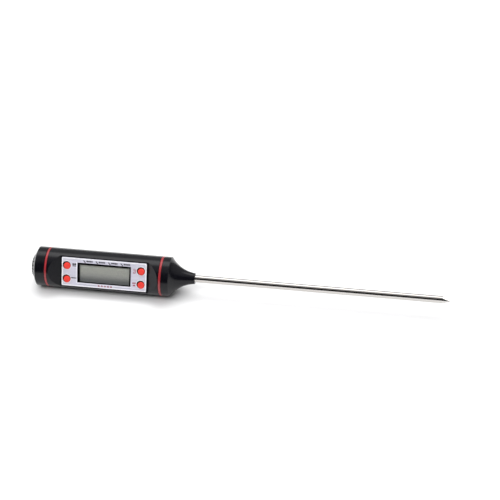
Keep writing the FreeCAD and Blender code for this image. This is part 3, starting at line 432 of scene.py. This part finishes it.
def inner_material(slot):
    colour, roughness, metallic = INNER_FINISHES[slot]
    dark = tuple(SHADE * part for part in colour)
    return surface(
        slot, dark, colour, (roughness, roughness + 0.12),
        patch_scale=400, grain_scale=6000, grain_depth=0.003 * MM, Metallic=metallic,
    ).material


def finish_nodes():
    """Every carried-over node gets the material of its slot in the record."""
    made = {
        "black_plastic": black_plastic(),
        "red_band": red_band_plastic(),
        "key_red": key_plastic(),
        "label_silver": label_film(),
        "lens_clear": lens_glass(),
        "lcd_film": lcd_film(),
        "probe_steel": probe_steel(),
    }
    for part in frame["record"]["subparts"]:
        slot = part["material_slot"]
        if slot not in made:
            made[slot] = inner_material(slot)
        materials = frame["nodes"][part["node"]].data.materials
        for number in range(len(materials)):
            materials[number] = made[slot]
    frame["nodes"]["probe_tip"].data.materials[0] = tip_steel()
    return made


# ---------------------------------------------------------------- the panel's label and print

WINDOW_LENGTH, WINDOW_WIDTH = (
    extent("display_lens", side)[1] - extent("display_lens", side)[0] - 2 * LENS_MARGIN
    for side in (ALONG, ACROSS)
)
WINDOW_Y = middle(extent("display_lens", ACROSS))
KEYS = ("key_max_min", "key_hold", "key_unit", "key_power")


def key_centre(node):
    return middle(extent(node, ALONG)) - PANEL_X, middle(extent(node, ACROSS))


def window_outline(margin, corner):
    """The window's edge moved outwards by a margin."""
    length, width = WINDOW_LENGTH + 2 * margin, WINDOW_WIDTH + 2 * margin
    return rounded_rectangle(0, WINDOW_Y, length, width, corner)


def key_rings(radius):
    """Circles about the label's four key holes."""
    centres = [key_centre(node) for node in KEYS]
    return [circle(x + HOLE_SHIFT[0], y + HOLE_SHIFT[1], radius) for x, y in centres]


def label_outline(inset):
    length, width = LABEL_LENGTH - 2 * inset, LABEL_WIDTH - 2 * inset
    return rounded_rectangle(0, 0, length, width, LABEL_CORNER)


def make_label(film):
    """The panel plate, with softened edges round the outside, the window and the keys."""
    outlines = [label_outline(0), window_outline(0, 0.25 * MM), *key_rings(KEY_HOLE_RADIUS)]
    label = plate("panel_label", outlines, LABEL_FLOOR, LABEL_TOP, LABEL_BEVEL)
    finished(label, film)
    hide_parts("face_label")


def key_profile(floor, top):
    """Half the section of a key: straight side, rounded shoulder and slightly domed top."""
    inner = KEY_CAP_RADIUS - KEY_ROUNDING
    shoulder = top - KEY_DOME - KEY_ROUNDING
    points = [(KEY_CAP_RADIUS, floor)]
    for step in range(KEY_SHOULDER_STEPS + 1):
        turn = math.pi / 2 * step / KEY_SHOULDER_STEPS
        points.append((inner + KEY_ROUNDING * math.cos(turn), shoulder + KEY_ROUNDING * math.sin(turn)))
    for step in range(1, KEY_DOME_STEPS):
        share = 1 - step / KEY_DOME_STEPS
        points.append((inner * share, top - KEY_DOME * share * share))
    return points


def make_key(node, material):
    """A key's cap, turned from its section, with a closed top and floor."""
    x, y = (place + shift for place, shift in zip(key_centre(node), KEY_CAP_SHIFT))
    low, top = extent(node, OUTWARD)
    profile = key_profile(low, top)
    shape = bmesh.new()
    rings = [
        [shape.verts.new((px, py, height)) for px, py in circle(x, y, radius)]
        for radius, height in profile
    ]
    for lower, upper in zip(rings, rings[1:]):
        for i in range(ROUND_STEPS):
            j = (i + 1) % ROUND_STEPS
            shape.faces.new((lower[i], lower[j], upper[j], upper[i]))
    crown = shape.verts.new((x, y, top))
    for i in range(ROUND_STEPS):
        shape.faces.new((rings[-1][i], rings[-1][(i + 1) % ROUND_STEPS], crown))
    shape.faces.new(list(reversed(rings[0])))
    mesh = bpy.data.meshes.new(node + "_cap")
    shape.to_mesh(mesh)
    shape.free()
    mesh.transform(panel_matrix())
    close_mesh(mesh)
    cap = bpy.data.objects.new(node + "_cap", mesh)
    bpy.context.scene.collection.objects.link(cap)
    finished(cap, material, node.removeprefix("key_") + "_key")
    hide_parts(node)


def print_and_highlight_on_label(name, outlines, ink_and_highlight):
    """Print ink, and the painted edge highlights, as a thin raised layer on the label's face."""
    layer = plate(name, outlines, LABEL_TOP, LABEL_TOP + PRINT_THICKNESS)
    finished(layer, ink_and_highlight)


def make_borders():
    """Painted highlights: light lines round the label's edge and the key holes, and beside and under the window,
    where these edges catch the light.
    """
    inside, outside = KEY_HOLE_RADIUS + LABEL_BEVEL, KEY_HOLE_RADIUS + HOLE_BORDER
    print_and_highlight_on_label("key_hole_highlights", [*key_rings(inside), *key_rings(outside)], painted_edge_highlight())
    outer_inset, inner_inset = 0.11 * MM, 0.58 * MM
    print_and_highlight_on_label("label_edge_highlight", [label_outline(outer_inset), label_outline(inner_inset)], painted_edge_highlight())
    side_width, foot_width, overrun = 0.36 * MM, 0.2 * MM, 0.5 * MM
    left = -WINDOW_LENGTH / 2 - 0.42 * MM
    low = WINDOW_Y - WINDOW_WIDTH / 2 - 0.33 * MM
    outlines = [
        rectangle(left, WINDOW_Y, side_width, WINDOW_WIDTH + overrun),
        rectangle(0.2 * MM, low, WINDOW_LENGTH + overrun, foot_width),
    ]
    print_and_highlight_on_label("window_edge_highlight", outlines, painted_edge_highlight())


TOP_ROW = 6.5 * MM          # middle of the row of marks above the window
BOTTOM_ROW = -6.9 * MM
LEADERS = [-11.3 * MM + step * 7.0 * MM for step in range(4)]


def bars(start, y, lengths, width, gap=0.18 * MM):
    """A row of short bars, each with its own length."""
    made = []
    for length in lengths:
        made.append(rectangle(start + length / 2, y, length, width))
        start += length + gap
    return made


def make_marks():
    """Generic printed marks: leader ticks with a short row of bars after each."""
    outlines = []
    for x in LEADERS:
        outlines.append(slanted_bar(x + 0.25 * MM, TOP_ROW - 0.1 * MM, 0.65 * MM, 1.35 * MM, -1.1 * MM))
        lengths = [0.9 * MM, 0.7 * MM, 0.95 * MM, 0.6 * MM]
        outlines += bars(x + 1.3 * MM, TOP_ROW + 0.15 * MM, lengths, 0.8 * MM, 0.13 * MM)
    mark_x = key_centre("key_max_min")[0] + 3.05 * MM
    outlines += bars(mark_x, 4.5 * MM, [0.9 * MM, 1.0 * MM], 1.0 * MM, 0.2 * MM)
    outlines += bars(mark_x + 0.1 * MM, 3.5 * MM, [0.55 * MM, 0.45 * MM, 0.55 * MM], 0.6 * MM, 0.14 * MM)
    lower_lengths = [1.0 * MM, 0.5 * MM, 0.6 * MM, 0.5 * MM]
    outlines += bars(mark_x - 0.6 * MM, -3.4 * MM, lower_lengths, 0.6 * MM, 0.12 * MM)
    print_and_highlight_on_label("grey_marks", outlines, grey_ink())


def make_hairlines():
    """Fine lines of the inset frame, left out where marks stand."""
    width = 0.13 * MM
    upper, lower = TOP_ROW - 0.1 * MM, BOTTOM_ROW
    outlines = [
        rectangle(-15.6 * MM, upper, 5.6 * MM, width), rectangle(16.0 * MM, upper, 4.2 * MM, width),
        rectangle(-9.3 * MM, lower, 10.4 * MM, width), rectangle(10.9 * MM, lower, 9.4 * MM, width),
    ]
    print_and_highlight_on_label("hairlines", outlines, hairline_ink())


def make_red_marks():
    """Five small marks under the window and a pictogram beside each front key."""
    outlines = []
    for number in range(5):
        x = 0.7 * MM + (number - 2) * 1.75 * MM
        outlines.append(rounded_rectangle(x, BOTTOM_ROW, 0.85 * MM, 0.85 * MM, 0.2 * MM))
        outlines.append(circle(x, BOTTOM_ROW, 0.16 * MM, 16))
    x = key_centre("key_unit")[0] - 3.9 * MM
    for y, radius in ((4.1 * MM, 0.55 * MM), (2.5 * MM, 0.62 * MM)):
        outlines += [circle(x, y, radius, 32), circle(x, y, radius - 0.24 * MM, 32)]
    outlines.append(slanted_bar(x + 0.75 * MM, 3.3 * MM, 0.26 * MM, 2.1 * MM, 0.35 * MM))
    outlines += bars(x - 0.85 * MM, -3.55 * MM, [0.5 * MM, 0.5 * MM, 0.45 * MM], 0.85 * MM, 0.16 * MM)
    outlines += bars(x - 0.6 * MM, -4.85 * MM, [0.5 * MM, 0.55 * MM], 0.8 * MM, 0.16 * MM)
    print_and_highlight_on_label("red_marks", outlines, red_ink())


# ---------------------------------------------------------------- floor, lights and camera


def make_floor():
    """A wide, plain, near-white floor that the thermometer lies on."""
    half = 3.0
    mesh = bpy.data.meshes.new("floor")
    corners = [(x, y, 0) for x, y in rectangle(0, 0, 2 * half, 2 * half)]
    mesh.from_pydata(corners, [], [(0, 1, 2, 3)])
    floor = bpy.data.objects.new("floor", mesh)
    bpy.context.scene.collection.objects.link(floor)
    mesh.materials.append(surface(
        "floor_paper", (0.86, 0.86, 0.865), (0.865, 0.865, 0.87), (0.9, 1.0),
        patch_scale=2, grain_scale=400, grain_depth=0.001 * MM, Specular_IOR_Level=0.0,
    ).material)


SKY_TILT = math.radians(29)         # the brightest strip leans this far behind the object
SKY_STOPS = [                       # brightness by closeness to the strip, as a cosine
    (0.42, 0.02), (0.64, 0.42), (0.93, 0.55), (0.975, 2.6), (1.0, 3.0),
]


def make_sky():
    """A studio with a bright strip overhead, a dim rear, and the dark room in front."""
    world = bpy.data.worlds.new("studio")
    bpy.context.scene.world = world
    world.use_nodes = True
    tree = world.node_tree
    vector = tree.nodes.new("ShaderNodeTexCoord").outputs["Generated"]
    strip = (0, math.sin(SKY_TILT), math.cos(SKY_TILT))
    for operation, value in (("MULTIPLY", (0.5, 1, 1)), ("NORMALIZE", None), ("DOT_PRODUCT", strip)):
        step = tree.nodes.new("ShaderNodeVectorMath")
        step.operation = operation
        if value:
            step.inputs[1].default_value = value
        tree.links.new(vector, step.inputs[0])
        vector = step.outputs[0]
    ramp = tree.nodes.new("ShaderNodeValToRGB")
    elements = ramp.color_ramp.elements
    while len(elements) < len(SKY_STOPS):
        elements.new(0.5)
    for element, (place, level) in zip(elements, SKY_STOPS):
        element.position = place
        element.color = (level, level, level, 1)
    tree.links.new(step.outputs[1], ramp.inputs["Fac"])
    tree.links.new(ramp.outputs["Color"], tree.nodes["Background"].inputs["Color"])


def make_light(name, place, aim, size, power):
    """A soft box, as a rectangular area light turned towards a point. It shows in no reflection."""
    data = bpy.data.lights.new(name, "AREA")
    data.shape = "RECTANGLE"
    data.size, data.size_y = size
    data.energy = power
    light = bpy.data.objects.new(name, data)
    light.location = place
    turn = (Vector(aim) - Vector(place)).to_track_quat("-Z", "Y")
    light.rotation_euler = turn.to_euler()
    light.visible_glossy = False
    bpy.context.scene.collection.objects.link(light)


def make_lights():
    make_light("overhead_box", (0.0, 0.15, 1.0), (0, 0, 0), (1.0, 0.6), 4.5)
    make_light("front_box", (-0.2, -0.55, 1.0), (0, 0, 0), (0.9, 0.6), 8.5)


CAMERA_PLACE = Vector((0.0611, -0.4496, 0.4168))
CAMERA_AIM = Vector((-0.0013, 0.0413, 0.0))
CAMERA_LENS = 79.2


def make_camera():
    data = bpy.data.cameras.new("camera")
    data.sensor_width = 36
    data.lens = CAMERA_LENS
    camera = bpy.data.objects.new("camera", data)
    camera.location = CAMERA_PLACE
    camera.rotation_euler = (CAMERA_AIM - CAMERA_PLACE).to_track_quat("-Z", "Y").to_euler()
    bpy.context.scene.collection.objects.link(camera)
    bpy.context.scene.camera = camera


make_camera()
made_materials = finish_nodes()
make_label(made_materials["label_silver"])
for key in KEYS:
    make_key(key, made_materials["key_red"])
make_borders()
make_marks()
make_hairlines()
make_red_marks()
make_floor()
make_sky()
make_lights()
bpy.context.scene.view_settings.view_transform = "Standard"
